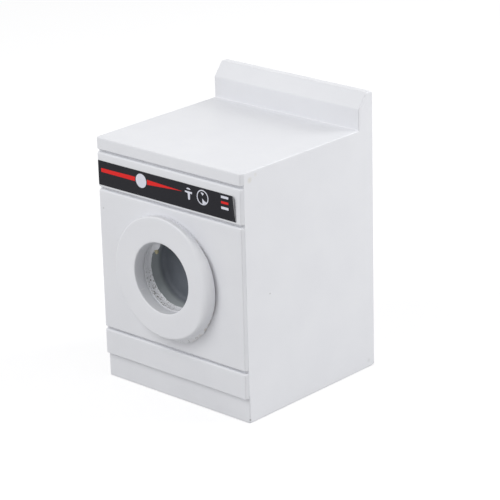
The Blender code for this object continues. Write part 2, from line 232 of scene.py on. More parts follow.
def maths(tree, operation, first, second):
    return add_node(tree, "ShaderNodeMath", {0: first, 1: second},
                    operation=operation).outputs["Value"]


def mix_colour(tree, factor, first, second):
    made = add_node(tree, "ShaderNodeMix", data_type="RGBA")
    for key, value in (("Factor", factor), ("A", first), ("B", second)):
        socket = next(s for s in made.inputs
                      if s.name == key and s.type == ("VALUE" if key == "Factor" else "RGBA"))
        if isinstance(value, bpy.types.NodeSocket):
            tree.links.new(value, socket)
        else:
            socket.default_value = value
    return next(s for s in made.outputs if s.type == "RGBA")


def part_of(tree, place, axis):
    return add_node(tree, "ShaderNodeSeparateXYZ", {0: place}).outputs[axis]


def near(tree, place, centre, radius, soft):
    """1 inside a ball round centre, falling to 0 over the soft distance."""
    away = add_node(tree, "ShaderNodeVectorMath", {0: place, 1: centre},
                    operation="DISTANCE").outputs["Value"]
    return remap(tree, away, radius + soft, radius)


def bump(tree, height, distance, normal=None, strength=1.0):
    inputs = {"Height": height, "Distance": distance, "Strength": strength}
    if normal:
        inputs["Normal"] = normal
    return add_node(tree, "ShaderNodeBump", inputs).outputs["Normal"]


# Materials

PAINT_LIGHT = rgba((0.800, 0.808, 0.838))
PAINT_DARK = rgba((0.782, 0.790, 0.822))
PAINT_WARM = rgba((0.74, 0.72, 0.68))
DIRT = rgba((0.10, 0.085, 0.06))
GLUE = rgba((0.52, 0.46, 0.25))
BARE_WOOD = rgba((0.47, 0.33, 0.18))
BARE_WOOD_LATE = rgba((0.33, 0.21, 0.10))


def paint_surface(tree, shader, place):
    """Satin paint: broad tone drift, fine orange peel and a little dust under the coat."""
    drift = noise_value(tree, place, 12 * MM)
    colour = mix_colour(tree, remap(tree, drift, 0.35, 0.65), PAINT_LIGHT, PAINT_DARK)
    gloss = noise_value(tree, place, 4 * MM)
    tree.links.new(remap(tree, gloss, 0.3, 0.7, 0.38, 0.5), shader.inputs["Roughness"])
    peel = noise_value(tree, place, 0.55 * MM, 3.0)
    normal = bump(tree, peel, 0.0022 * MM)
    roll = noise_value(tree, place, 5 * MM)
    normal = bump(tree, roll, 0.02 * MM, normal)
    dust = noise_value(tree, place, 0.25 * MM, 0.0)
    normal = bump(tree, remap(tree, dust, 0.80, 0.86), 0.01 * MM, normal)
    tree.links.new(normal, shader.inputs["Normal"])
    return colour


def paint(name, spots=()):
    """White paint, with spots given as (centre, radius, colour, how much of the colour)."""
    mat, tree, shader, place = new_material(name, 0.42)
    colour = paint_surface(tree, shader, place)
    for centre, radius, spot, amount in spots:
        blot = near(tree, place, centre, radius * 0.4, radius)
        blot = maths(tree, "MULTIPLY", blot, amount)
        colour = mix_colour(tree, blot, colour, spot)
    tree.links.new(colour, shader.inputs["Base Color"])
    return mat


def rough_cut_paint():
    """Thin paint on the sawn edge of the porthole, with dirt in its pits."""
    mat, tree, shader, place = new_material("rough_cut_paint", 0.5)
    colour = paint_surface(tree, shader, place)
    pits = noise_value(tree, place, 0.42 * MM, 3.0)
    low = near(tree, place, (-5.6 * MM, CARCASS, PORTHOLE_Z - 7.0 * MM), 4.5 * MM, 3.5 * MM)
    dirt = maths(tree, "MULTIPLY", remap(tree, pits, 0.55, 0.64, 0.0, 0.8), low)
    colour = mix_colour(tree, dirt, colour, DIRT)
    tree.links.new(colour, shader.inputs["Base Color"])
    tree.links.new(bump(tree, pits, 0.08 * MM), shader.inputs["Normal"])
    return mat


# A scratch in the bore, along Y, with Y drawn in to 0.12 of its length
SCRATCH = (-7.83 * MM, 0.12 * -26.9 * MM, 28.76 * MM)


def ring_paint():
    """Paint on the door ring, thin along the open joint at its right, with pits below."""
    mat, tree, shader, place = new_material("ring_paint", 0.4)
    colour = paint_surface(tree, shader, place)
    depth = part_of(tree, place, "Y")
    right = remap(tree, part_of(tree, place, "X"), 6.0 * MM, 12.0 * MM)
    rear = remap(tree, depth, RING_BACK - 0.55 * MM, RING_BACK)
    patches = noise_value(tree, place, 1.1 * MM, 2.0)
    stain = maths(tree, "MULTIPLY", maths(tree, "MULTIPLY", rear, right),
                  remap(tree, patches, 0.42, 0.62))
    grain = noise_value(tree, place, 0.3 * MM, 3.0, (1.0, 1.0, 0.15))
    wood = mix_colour(tree, grain, BARE_WOOD, BARE_WOOD_LATE)
    colour = mix_colour(tree, maths(tree, "MULTIPLY", stain, 0.55), colour, wood)
    low = remap(tree, part_of(tree, place, "Z"), PORTHOLE_Z - 3 * MM, PORTHOLE_Z - 8 * MM)
    near_joint = remap(tree, depth, RING_BACK - 0.5 * MM, RING_BACK - 0.1 * MM)
    holes = remap(tree, noise_value(tree, place, 0.32 * MM, 1.0), 0.60, 0.66)
    side = remap(tree, part_of(tree, place, "X"), -2.0 * MM, 6.0 * MM)
    pits = maths(tree, "MULTIPLY", maths(tree, "MULTIPLY", low, side),
                 maths(tree, "MULTIPLY", near_joint, holes))
    colour = mix_colour(tree, maths(tree, "MULTIPLY", pits, 0.85), colour, DIRT)
    flat = add_node(tree, "ShaderNodeVectorMath", {0: place, 1: (1.0, 0.12, 1.0)},
                    operation="MULTIPLY").outputs["Vector"]
    scratch = near(tree, flat, SCRATCH, 0.06 * MM, 0.1 * MM)
    colour = mix_colour(tree, maths(tree, "MULTIPLY", scratch, 0.7), colour, WHITE)
    tree.links.new(colour, shader.inputs["Base Color"])
    return mat


def glue_yellow():
    """Dried glue, yellowish and a little glossy."""
    mat, tree, shader, place = new_material("glue_yellow", 0.3)
    tone = noise_value(tree, place, 0.4 * MM, 2.0)
    tree.links.new(mix_colour(tree, tone, rgba((0.40, 0.36, 0.20)), rgba((0.55, 0.52, 0.36))),
                   shader.inputs["Base Color"])
    return mat


def bare_wood():
    mat, tree, shader, place = new_material("bare_wood", 0.62)
    grain = noise_value(tree, place, 1.1 * MM, 4.0, (1.0, 0.07, 1.0))
    colour = mix_colour(tree, remap(tree, grain, 0.3, 0.7), rgba((0.66, 0.50, 0.31)),
                        rgba((0.50, 0.35, 0.19)))
    tree.links.new(colour, shader.inputs["Base Color"])
    tree.links.new(bump(tree, grain, 0.05 * MM), shader.inputs["Normal"])
    return mat


# The film's right end is grey beyond a slanting line, x + slant * z: worn print, and a painted
# reflection of the lifted end
WEAR_AND_REFLECTION_SLANT = 0.1
WEAR_AND_REFLECTION_FROM = LABEL_HIGH.x - 0.38 * MM + WEAR_AND_REFLECTION_SLANT * (LABEL_LOW.z + LABEL_HIGH.z) / 2


def label_black():
    """Printed black film, smooth with a fine ripple of the board under it. Its right end is grey:
    worn print and a painted reflection.
    """
    mat, tree, shader, place = new_material("label_black", 0.45, Specular_IOR_Level=0.1)
    tone = noise_value(tree, place, 0.4 * MM, 3.0)
    colour = mix_colour(tree, tone, rgba((0.015, 0.015, 0.019)), rgba((0.023, 0.023, 0.028)))
    up = maths(tree, "MULTIPLY", part_of(tree, place, "Z"), WEAR_AND_REFLECTION_SLANT)
    along = maths(tree, "ADD", part_of(tree, place, "X"), up)
    # Worn print and painted reflection: the lifted right end of the film is coloured grey, as if
    # light caught it.
    worn = remap(tree, along, WEAR_AND_REFLECTION_FROM, WEAR_AND_REFLECTION_FROM + 0.04 * MM)
    colour = mix_colour(tree, worn, colour, rgba((0.36, 0.36, 0.37)))
    tree.links.new(colour, shader.inputs["Base Color"])
    ripple = noise_value(tree, place, 1.6 * MM, 2.0)
    tree.links.new(bump(tree, ripple, 0.006 * MM), shader.inputs["Normal"])
    return mat


def ink(name, colour, darker):
    mat, tree, shader, place = new_material(name, 0.45, Specular_IOR_Level=0.15)
    tone = noise_value(tree, place, 0.3 * MM, 2.0)
    tree.links.new(mix_colour(tree, tone, rgba(colour), rgba(darker)),
                   shader.inputs["Base Color"])
    return mat


def drum_grey():
    """Dark satin grey, slightly streaked, with a few specks of dust. The back floor of the cup is
    painted darker than its wall as painted shade.
    """
    mat, tree, shader, place = new_material("drum_grey", 0.6, Specular_IOR_Level=0.3)
    streak = noise_value(tree, place, 2.5 * MM, 3.0)
    # Painted light and shade: the wall gets a lighter grey and the floor at the back of the cup a
    # much darker one, standing in for how light falls into the cup.
    wall = mix_colour(tree, streak, rgba((0.38, 0.41, 0.42)), rgba((0.44, 0.47, 0.48)))
    floor = mix_colour(tree, streak, rgba((0.14, 0.155, 0.18)), rgba((0.18, 0.195, 0.22)))
    painted_shade_depth = remap(tree, part_of(tree, place, "Y"), DRUM_REAR - 3.0 * MM, DRUM_REAR - 1.5 * MM)
    colour = mix_colour(tree, painted_shade_depth, wall, floor)
    dust = noise_value(tree, place, 0.35 * MM, 0.0)
    colour = mix_colour(tree, remap(tree, dust, 0.84, 0.87, 0.0, 0.6), colour,
                        rgba((0.5, 0.5, 0.52)))
    tree.links.new(colour, shader.inputs["Base Color"])
    tree.links.new(bump(tree, streak, 0.02 * MM), shader.inputs["Normal"])
    return mat


def metal(name, colour, worn, roughness):
    mat, tree, shader, place = new_material(name, roughness, Metallic=1.0)
    patina = noise_value(tree, place, 0.9 * MM, 3.0)
    tree.links.new(mix_colour(tree, patina, rgba(colour), rgba(worn)),
                   shader.inputs["Base Color"])
    drawn = noise_value(tree, place, 0.12 * MM, 2.0, (1.0, 1.0, 0.1))
    tree.links.new(remap(tree, drawn, 0.3, 0.7, roughness - 0.08, roughness + 0.1),
                   shader.inputs["Roughness"])
    tree.links.new(bump(tree, drawn, 0.003 * MM), shader.inputs["Normal"])
    return mat


# Mesh helpers

def finish_mesh(mesh):
    mesh.shade_smooth()
    mesh.set_sharp_from_angle(angle=radians(SHARP_ANGLE))


def add_object(name, mesh):
    obj = bpy.data.objects.new(name, mesh)
    PIECES.objects.link(obj)
    return obj


def object_from(name, bm):
    mesh = bpy.data.meshes.new(name)
    bmesh.ops.recalc_face_normals(bm, faces=bm.faces)
    bm.to_mesh(mesh)
    bm.free()
    finish_mesh(mesh)
    return add_object(name, mesh)


def apply_modifiers(obj):
    """The object's mesh becomes what its modifiers make of it."""
    graph = bpy.context.evaluated_depsgraph_get()
    mesh = bpy.data.meshes.new_from_object(obj.evaluated_get(graph))
    obj.modifiers.clear()
    obj.data = mesh
    finish_mesh(mesh)


def even_normals(obj):
    """Flat faces keep a flat shading beside their rounded edges."""
    weighted = obj.modifiers.new("even_normals", "WEIGHTED_NORMAL")
    weighted.keep_sharp = True
    weighted.weight = 100


def arc(centre, radius, start, end, steps):
    """Points along an arc, angles in degrees."""
    cx, cy = centre
    turns = [radians(start + (end - start) * step / steps) for step in range(steps + 1)]
    return [(cx + radius * cos(turn), cy + radius * sin(turn)) for turn in turns]


def prism(outline, low, high, place):
    """A closed outline pushed from low to high; place turns (u, v, push) into a point."""
    bm = bmesh.new()
    ends = [[bm.verts.new(place(u, v, push)) for u, v in outline] for push in (low, high)]
    bm.faces.new(ends[0])
    bm.faces.new(ends[1])
    count = len(outline)
    for index in range(count):
        after = (index + 1) % count
        bm.faces.new((ends[0][index], ends[0][after], ends[1][after], ends[1][index]))
    bmesh.ops.recalc_face_normals(bm, faces=bm.faces)
    return bm


def along_x(y, z, x):
    return (x, y, z)


def along_y(x, z, y):
    return (x, y, z)


def slice_cells(bm, cell=CELL, margin=CELL_MARGIN):
    """Cuts the mesh on a grid shared by all the boards, but not close to its own edges."""
    for axis in range(3):
        values = [v.co[axis] for v in bm.verts]
        low, high = min(values) + margin, max(values) - margin
        normal = Vector([1.0 if i == axis else 0.0 for i in range(3)])
        for step in range(int(low / cell) - 1, int(high / cell) + 2):
            level = step * cell
            if low < level < high:
                bmesh.ops.bisect_plane(
                    bm, geom=bm.verts[:] + bm.edges[:] + bm.faces[:], dist=cell / 1000,
                    plane_co=normal * level, plane_no=normal,
                )


def cut_level(bm, axis, level):
    normal = Vector([1.0 if i == axis else 0.0 for i in range(3)])
    bmesh.ops.bisect_plane(
        bm, geom=bm.verts[:] + bm.edges[:] + bm.faces[:], dist=CELL / 1000,
        plane_co=normal * level, plane_no=normal,
    )


def face_side(normal):
    """The word for the way a face looks."""
    for value, plus, minus in zip(normal, ("right", "back", "top"), ("left", "front", "under")):
        if abs(value) > 0.95:
            return plus if value > 0 else minus
    return "slope"


def round_edges(obj, rounds):
    """Rounds the edges between two kinds of face: (side, side, radius, lowest z, highest z)."""
    bm = bmesh.new()
    bm.from_mesh(obj.data)
    weight = bm.edges.layers.float.new("bevel_weight_edge")
    widest = max(radius for _, _, radius, _, _ in rounds)
    for edge in bm.edges:
        if len(edge.link_faces) != 2:
            continue
        sides = {face_side(face.normal) for face in edge.link_faces}
        middle = (edge.verts[0].co + edge.verts[1].co) / 2
        for first, second, radius, low, high in rounds:
            if sides == {first, second} and low <= middle.z <= high:
                edge[weight] = radius / widest
    bm.to_mesh(obj.data)
    bm.free()
    bevel = obj.modifiers.new("rounded", "BEVEL")
    bevel.width = widest
    bevel.segments = EDGE_STEPS
    bevel.limit_method = "WEIGHT"
    bevel.use_clamp_overlap = False
    apply_modifiers(obj)


def uneven(point):
    """How far a hand-painted surface strays at a point. Boards that touch stray alike."""
    broad = noise.noise_vector(point / WAVE_LENGTH) * WAVE_HEIGHT
    fine = noise.noise_vector(point / RIPPLE_LENGTH) * RIPPLE_HEIGHT
    shift = broad + fine
    shift.z *= min(1.0, max(0.0, point.z / FOOT_FADE))
    return shift


def make_uneven(obj):
    for vertex in obj.data.vertices:
        vertex.co += uneven(vertex.co)


def cut_away(obj, cutter):
    """Cuts the cutter's shape out of the object and removes the cutter."""
    boolean = obj.modifiers.new("cut", "BOOLEAN")
    boolean.operation = "DIFFERENCE"
    boolean.solver = "EXACT"
    boolean.object = cutter
    apply_modifiers(obj)
    bpy.data.objects.remove(cutter, do_unlink=True)


def dress(obj, body, slot, material, *nodes):
    """Gives a piece its material and its body, and hides the frame's nodes it stands for. The slot
    is not used.
    """
    if material:
        obj.data.materials.clear()
        obj.data.materials.append(material)
    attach(obj, body)
    if nodes:
        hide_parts(*nodes)
    return obj


ANY_LOW, ANY_HIGH = -1.0, 1.0


def every(first, second, radius, low=ANY_LOW, high=ANY_HIGH):
    return (first, second, radius, low, high)


# Cabinet

def make_board(name, outline, low_x, high_x, rounds, levels=()):
    """A painted board along X with a (y, z) outline."""
    bm = prism(outline, low_x, high_x, along_x)
    slice_cells(bm)
    for axis, level in levels:
        cut_level(bm, axis, level)
    obj = object_from(name, bm)
    if rounds:
        round_edges(obj, rounds)
    return obj


def rectangle(low_a, low_b, high_a, high_b):
    return [(low_a, low_b), (high_a, low_b), (high_a, high_b), (low_a, high_b)]


def rear_foot():
    """The worn lower rear corner of the sides and the back."""
    return arc((BACK - FOOT_CORNER, FOOT_CORNER), FOOT_CORNER, -90, 0, CORNER_STEPS)


def soft_corner(before, corner, after, reach):
    """Points that round a corner of an outline, from reach before it to reach after it."""
    start, corner, end = (Vector(point) for point in (before, corner, after))
    start = corner + (start - corner).normalized() * reach
    end = corner + (end - corner).normalized() * reach
    shares = [step / CROWN_STEPS for step in range(CROWN_STEPS + 1)]
    return [tuple(start * (1 - t) ** 2 + corner * 2 * t * (1 - t) + end * t * t) for t in shares]


def crown():
    """The rounded top of the splashback and of the sides, from its back to its slope."""
    back, rear_edge = (BACK, TOP), (BACK, SPLASH_TOP)
    front_edge, slope_foot = (BACK - SPLASH_TOP_DEPTH, SPLASH_TOP), (SPLASH_FRONT, SPLASH_FACE_TOP)
    return (soft_corner(back, rear_edge, front_edge, SPLASH_CORNER)
            + soft_corner(rear_edge, front_edge, slope_foot, SPLASH_EDGE) + [slope_foot])


def side_outline():
    return ([(CARCASS, 0.0)] + rear_foot() + crown()
            + [(SPLASH_FRONT, TOP), (CARCASS, TOP)])


def make_sides(white):
    for node, outer in (("side_panel_left", "left"), ("side_panel_right", "right")):
        edges = (LEFT, -SIDE_INNER) if outer == "left" else (SIDE_INNER, RIGHT)
        obj = make_board("painted_" + node, side_outline(), *edges, [
            every(outer, "front", FOOT_EDGE, ANY_LOW, TOE_KICK_TOP),
            every(outer, "front", EDGE, TOP, ANY_HIGH),
            every(outer, "top", EDGE),
            every(outer, "slope", EDGE),
            every(outer, "back", EDGE),
            every(outer, "under", FOOT_EDGE),
            every("front", "under", FOOT_EDGE),
            every("front", "slope", EDGE),
            every("front", "top", PAINT_FILLET, TOP - EDGE, TOP + EDGE),
        ], levels=((2, TOE_KICK_TOP),))
        make_uneven(obj)
        even_normals(obj)
        dress(obj, "cabinet", "white_paint", white, node)


def splash_outline():
    """Section of the splashback, with a small fillet of paint at the foot of its face."""
    fillet = arc((SPLASH_FRONT - PAINT_FILLET, TOP + PAINT_FILLET), PAINT_FILLET, -90, 0,
                 EDGE_STEPS)
    return [(SPLASH_FRONT, WORKTOP_UNDER), (BACK, WORKTOP_UNDER)] + crown() + fillet[::-1]


def make_cabinet(white, front_white, wood, cut_paint):
    """The boards between the sides."""
    inner = (-SIDE_INNER, SIDE_INNER)
    worktop = make_board(
        "painted_worktop", rectangle(CARCASS, WORKTOP_UNDER, SPLASH_FRONT, TOP), *inner, [])
    splash = make_board("painted_splashback", splash_outline(), *inner, [
        every("front", "slope", EDGE),
    ])
    rear = make_board(
        "painted_back_board",
        [(REAR_INNER, 0.0)] + rear_foot() + [(BACK, WORKTOP_UNDER), (REAR_INNER, WORKTOP_UNDER)],
        *inner, [])
    base = make_board(
        "bare_base_board", rectangle(BOARD_BACK, 0.0, REAR_INNER, BASE_TOP), *inner, [])
    for obj, slot, material, node in (
        (worktop, "white_paint", white, "worktop"),
        (splash, "white_paint", white, "splashback"),
        (rear, "white_paint", white, "back_board"),
        (base, "bare_wood", wood, "base_board"),
    ):
        make_uneven(obj)
        even_normals(obj)
        dress(obj, "cabinet", slot, material, node)
    board = make_board(
        "painted_front_board", rectangle(CARCASS, 0.0, BOARD_BACK, WORKTOP_UNDER), *inner,
        [every("front", "under", FOOT_EDGE)])
    finish_front(board, front_white, cut_paint, "front_board")


def finish_front(board, white, cut_paint, node):
    """Cuts the porthole and gives its wall a finish of its own."""
    if cut_paint:
        cut_away(board, rough_porthole())
    make_uneven(board)
    even_normals(board)
    dress(board, "cabinet", "white_paint", white, node)
    if cut_paint:
        board.data.materials.append(cut_paint)
        for face in board.data.polygons:
            across = Vector((face.center.x, 0.0, face.center.z - PORTHOLE_Z))
            if across.length < PORTHOLE_RADIUS + OVERRUN / 2 and abs(face.normal.y) < 0.7:
                face.material_index = 1


def rough_porthole():
    """Cutter for the porthole. Its wall wobbles, and it is ragged towards the rear."""
    depths = [FRONT - OVERRUN, FRONT, CARCASS, (CARCASS + BOARD_BACK) / 2, BOARD_BACK,
              BOARD_BACK + OVERRUN]
    bm = bmesh.new()
    loops = []
    for y in depths:
        rag = min(1.0, max(0.0, (y - CARCASS) / (BOARD_BACK - CARCASS)))
        loop = []
        for index in range(PORTHOLE_SIDES):
            turn = 2 * pi * index / PORTHOLE_SIDES
            spot = Vector((cos(turn) * 3, sin(turn) * 3, y / (3 * MM)))
            radius = PORTHOLE_RADIUS + PORTHOLE_WOBBLE * noise.noise(spot)
            chip = noise.noise(spot * 3.1) + 0.6 * noise.noise(spot * 7.7)
            radius += PORTHOLE_RAG * rag * chip - PORTHOLE_LIP * max(0.0, 2 * rag - 1)
            flake = exp(-((degrees(turn) - FLAKE_ANGLE) / FLAKE_SPREAD) ** 2)
            radius -= FLAKE_REACH * rag * rag * flake
            loop.append(bm.verts.new((radius * cos(turn), y, PORTHOLE_Z + radius * sin(turn))))
        loops.append(loop)
    for first, second in zip(loops, loops[1:]):
        for index in range(PORTHOLE_SIDES):
            after = (index + 1) % PORTHOLE_SIDES
            bm.faces.new((first[index], first[after], second[after], second[index]))
    bm.faces.new(loops[0])
    bm.faces.new(loops[-1])
    return object_from("porthole_cutter", bm)


def slant_ends(board, end):
    """Paint runs from the facing's ends out to the sides behind them."""
    for vertex in board.data.vertices:
        share = max(0.0, 1.0 - (end - abs(vertex.co.x)) / END_SLANT_LENGTH)
        back = (vertex.co.y - FRONT) / (CARCASS - FRONT)
        vertex.co.x += (1 if vertex.co.x > 0 else -1) * (RIGHT - end - END_STEP) * share * back


def make_facings(white, cut_paint):
    """The four boards across the front, with softly rounded edges."""
    for node, top_edge in (
        ("worktop_edge", EDGE), ("control_rail", FACING_TOP_EDGE),
        ("front_panel", FACING_TOP_EDGE), ("plinth_rail", FACING_TOP_EDGE),
    ):
        low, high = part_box(node)
        board = make_board(
            "painted_" + node, rectangle(FRONT, low.z, CARCASS, high.z), low.x, high.x, [
                every("front", "top", top_edge),
                every("front", "under", FACING_UNDER_EDGE),
                every("front", "left", FACING_END_EDGE),
                every("front", "right", FACING_END_EDGE),
                every("left", "top", EDGE),
                every("right", "top", EDGE),
                every("left", "under", FACING_UNDER_EDGE),
                every("right", "under", FACING_UNDER_EDGE),
            ])
        slant_ends(board, high.x)
        finish_front(board, white, cut_paint if node == "front_panel" else None, node)


# Door

def turned(name, section, sides, base_y):
    """A closed section turned about the porthole's axis. section(turn) lists its points as
    (radius, height towards the front), and a radius of 0 is a point on the axis."""
    bm = bmesh.new()
    turns = [2 * pi * index / sides for index in range(sides)]
    rows = [section(turn) for turn in turns]
    loops = []
    for index, (radius, height) in enumerate(rows[0]):
        if radius < TINY:
            loops.append([bm.verts.new((0.0, base_y - height, PORTHOLE_Z))])
            continue
        points = [row[index] for row in rows]
        loops.append([bm.verts.new((radius * cos(turn), base_y - height,
                                    PORTHOLE_Z + radius * sin(turn)))
                      for turn, (radius, height) in zip(turns, points)])
    pairs = list(zip(loops, loops[1:]))
    if rows[0][0][0] > TINY:
        pairs.append((loops[-1], loops[0]))
    for first, second in pairs:
        for index in range(sides):
            after = (index + 1) % sides
            corners = [first[index % len(first)], first[after % len(first)],
                       second[after % len(second)], second[index % len(second)]]
            bm.faces.new(list(dict.fromkeys(corners)))
    return object_from(name, bm)


def share_near(turn, middle, reach):
    """1 at an angle of middle degrees, easing to 0 at reach degrees to either side."""
    away = abs((degrees(turn) - middle + 180) % 360 - 180)
    share = max(0.0, 1.0 - away / reach)
    return share * share * (3 - 2 * share)


def ring_noise(turn, length):
    """Noise round the ring, whose lumps are about length across."""
    place = Vector((cos(turn), sin(turn), 0.0)) * RING_RADIUS / length
    return noise.noise(place)


def joint_fill(turn):
    """How far the paint behind the ring reaches towards the panel."""
    whole = FRONT - RING_BACK - JOINT_LEFT_OPEN
    opened = min(1.0, 1.5 * share_near(turn, -8, 72))
    ragged = share_near(turn, -46, 32) * max(0.0, 3.0 * ring_noise(turn, RAG_LENGTH))
    return whole * (1.0 - opened * (1.0 - min(1.0, ragged)))


def ring_section(turn):
    """Section of the ring at an angle, from the outer end of its front edge inwards."""
    thick = RING_BACK - RING_FRONT
    softness = min(1.0, 1.6 * share_near(turn, 6, 58))
    outer_round = RING_CRISP_ROUND + (RING_SOFT_ROUND - RING_CRISP_ROUND) * softness
    back_round = RING_BACK_ROUND + (RING_BACK_SOFT_ROUND - RING_BACK_ROUND) * share_near(
        turn, 55, 75)
    taper = RING_TAPER * min(1.0, 1.35 * share_near(turn, 37, 78))
    swell = SWELL_REACH * share_near(turn, -75, 46) * (1.0 + 0.4 * ring_noise(turn, 3 * RAG_LENGTH))
    swell -= taper
    fill = joint_fill(turn)
    flat_start, flat_end = RING_RADIUS - outer_round, RING_BORE_RADIUS + RING_BORE_ROUND
    front_flat = [(flat_start + (flat_end - flat_start) * step / 6, thick) for step in range(1, 6)]
    bore_top = thick - RING_BORE_ROUND
    wall = [(RING_BORE_RADIUS, bore_top * step / 5) for step in range(4, 0, -1)]
    section = arc((flat_start, thick - outer_round), outer_round, 0, 90, 20)
    section += front_flat
    section += arc((flat_end, bore_top), RING_BORE_ROUND, 90, 180, 6)
    section += wall
    section += arc((RING_BORE_RADIUS + RING_BACK_ROUND, RING_BACK_ROUND - BORE_FILL * fill),
                   RING_BACK_ROUND, 180, 270, 3)
    section += arc((RING_RADIUS + swell - back_round, back_round - fill), back_round, -90, 0, 6)
    low = back_round - fill
    for step in range(1, OUTER_WALL_STEPS):
        height = low + (thick - outer_round - low) * step / OUTER_WALL_STEPS
        reach = SWELL_HEIGHT if swell > 0 else thick - outer_round - low
        left = max(0.0, 1.0 - (height - low) / reach)
        section.append((RING_RADIUS + swell * left * left, height))
    return section


def make_ring(material):
    ring = turned("turned_door_ring", ring_section, RING_SIDES, RING_BACK)
    for vertex in ring.data.vertices:
        forward = (RING_BACK - vertex.co.y) / (RING_BACK - RING_FRONT)
        vertex.co.z += RING_LEAN_BACK + (RING_LEAN_FRONT - RING_LEAN_BACK) * forward
    for name, node in (("leaf_pocket", "hinge_leaf_door"), ("barrel_pocket", "hinge_pin")):
        low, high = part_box(node)
        top = PIN_HIGH.z + POCKET_ROOM / 4
        bottom = PIN_LOW.z - POCKET_ROOM / 4
        if node == "hinge_pin":
            roof, right = low.y - POCKET_ROOM, HINGE_X + BARREL_POCKET_WIDTH
        else:
            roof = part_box("hinge_brad_door_lower")[1].y - LEAF_POCKET_DEPTH
            right = high.x + POCKET_ROOM
        outline = rectangle(-RING_RADIUS - OVERRUN, bottom, right, top)
        pocket = object_from(name, prism(outline, roof, RING_BACK + OVERRUN, along_y))
        cut_away(ring, pocket)
    make_uneven(ring)
    even_normals(ring)
    dress(ring, "door", "ring_paint", material, "door_ring")


def make_glue_bead(material):
    """A bead of dried glue on the porthole's rear edge."""
    bm = bmesh.new()
    bmesh.ops.create_icosphere(bm, subdivisions=4, radius=1.0)
    for vertex in bm.verts:
        lump = 1.0 + 0.25 * noise.noise(vertex.co * 1.3) + 0.08 * noise.noise(vertex.co * 4.0)
        shape = [part * size * lump for part, size in zip(vertex.co, BEAD_SIZE)]
        vertex.co = Vector(BEAD_PLACE) + Vector(shape)
    dress(object_from("glue_bead", bm), "cabinet", "white_paint", material)


def drum_section():
    mouth = DRUM_REAR - BOARD_BACK
    outer = DRUM_RADIUS + DRUM_WALL
    flange = outer + DRUM_FLANGE_WIDTH
    flange_back = mouth - DRUM_FLANGE_THICK
    outer_round = DRUM_CORNER + DRUM_WALL
    wall_low = DRUM_WALL + DRUM_CORNER
    wall = [(DRUM_RADIUS, wall_low + (mouth - wall_low) * step / 4) for step in range(1, 5)]
    floor = [((DRUM_RADIUS - DRUM_CORNER) * step / 6, DRUM_WALL) for step in range(7)]
    return (
        floor
        + arc((DRUM_RADIUS - DRUM_CORNER, wall_low), DRUM_CORNER, -90, 0, 10)[1:]
        + wall
        + [(flange, mouth), (flange, flange_back), (outer, flange_back)]
        + arc((outer - outer_round, outer_round), outer_round, 0, -90, 8)
        + [(0.0, 0.0)]
    )


def make_drum(material):
    drum = turned("drum_cup_grey", lambda turn: drum_section(), DRUM_SIDES, DRUM_REAR)
    even_normals(drum)
    dress(drum, "cabinet", "drum_grey", material, "drum_cup")


# Sticker

def label_outline():
    left, right = LABEL_LOW.x, LABEL_HIGH.x
    low, high = LABEL_LOW.z, LABEL_HIGH.z
    return ([(left, high), (left, low)]
            + arc((right - LABEL_LOWER_CORNER, low + LABEL_LOWER_CORNER), LABEL_LOWER_CORNER,
                  -90, 0, CORNER_STEPS)
            + arc((right - LABEL_UPPER_CORNER, high - LABEL_UPPER_CORNER), LABEL_UPPER_CORNER,
                  0, 90, CORNER_STEPS))


CURL_START = 21.3 * MM
CURL_LIFT = 0.5 * MM


def curl(point):
    """The sticker's right end lifts off the board, its upper corner the most."""
    along = max(0.0, (point.x - CURL_START) / (LABEL_HIGH.x - CURL_START))
    up = (point.z - LABEL_LOW.z) / (LABEL_HIGH.z - LABEL_LOW.z)
    lift = CURL_LIFT * along ** 1.8 * (0.15 + 0.85 * up)
    return Vector((-0.4 * lift * along, -lift, 0.0))


def make_label(black, white, red):
    back = FRONT - 0.01 * MM
    front = back - LABEL_THICK
    bm = prism(label_outline(), front, back, along_y)
    slice_cells(bm, 0.5 * MM, 0.1 * MM)
    label = object_from("sticker_film", bm)
    for vertex in label.data.vertices:
        vertex.co += uneven(vertex.co) + curl(vertex.co)
    even_normals(label)
    dress(label, "cabinet", "label_film", black, "control_label")
    for name, outline, holes, material in label_marks(white, red):
        mark = print_mark(name, outline, holes, front)
        dress(mark, "cabinet", "label_film", material)


def circle(x, z, radius, steps=64):
    return arc((x, z), radius, 0, 360, steps)[:-1]


def on_film(along, up):
    """A place on the film, in millimetres from its lower left corner."""
    return (LABEL_LOW.x + along * MM, LABEL_LOW.z + up * MM)


def film_outline(*points):
    return [on_film(*point) for point in points]


DISC = on_film(15.0, 3.98)
DISC_RADIUS = 1.82 * MM
DIAL = on_film(35.84, 4.03)
DIAL_RADIUS = 1.92 * MM
DIAL_LINE = 0.27 * MM
LINE_LEFT, LINE_RIGHT = 41.9, 44.3


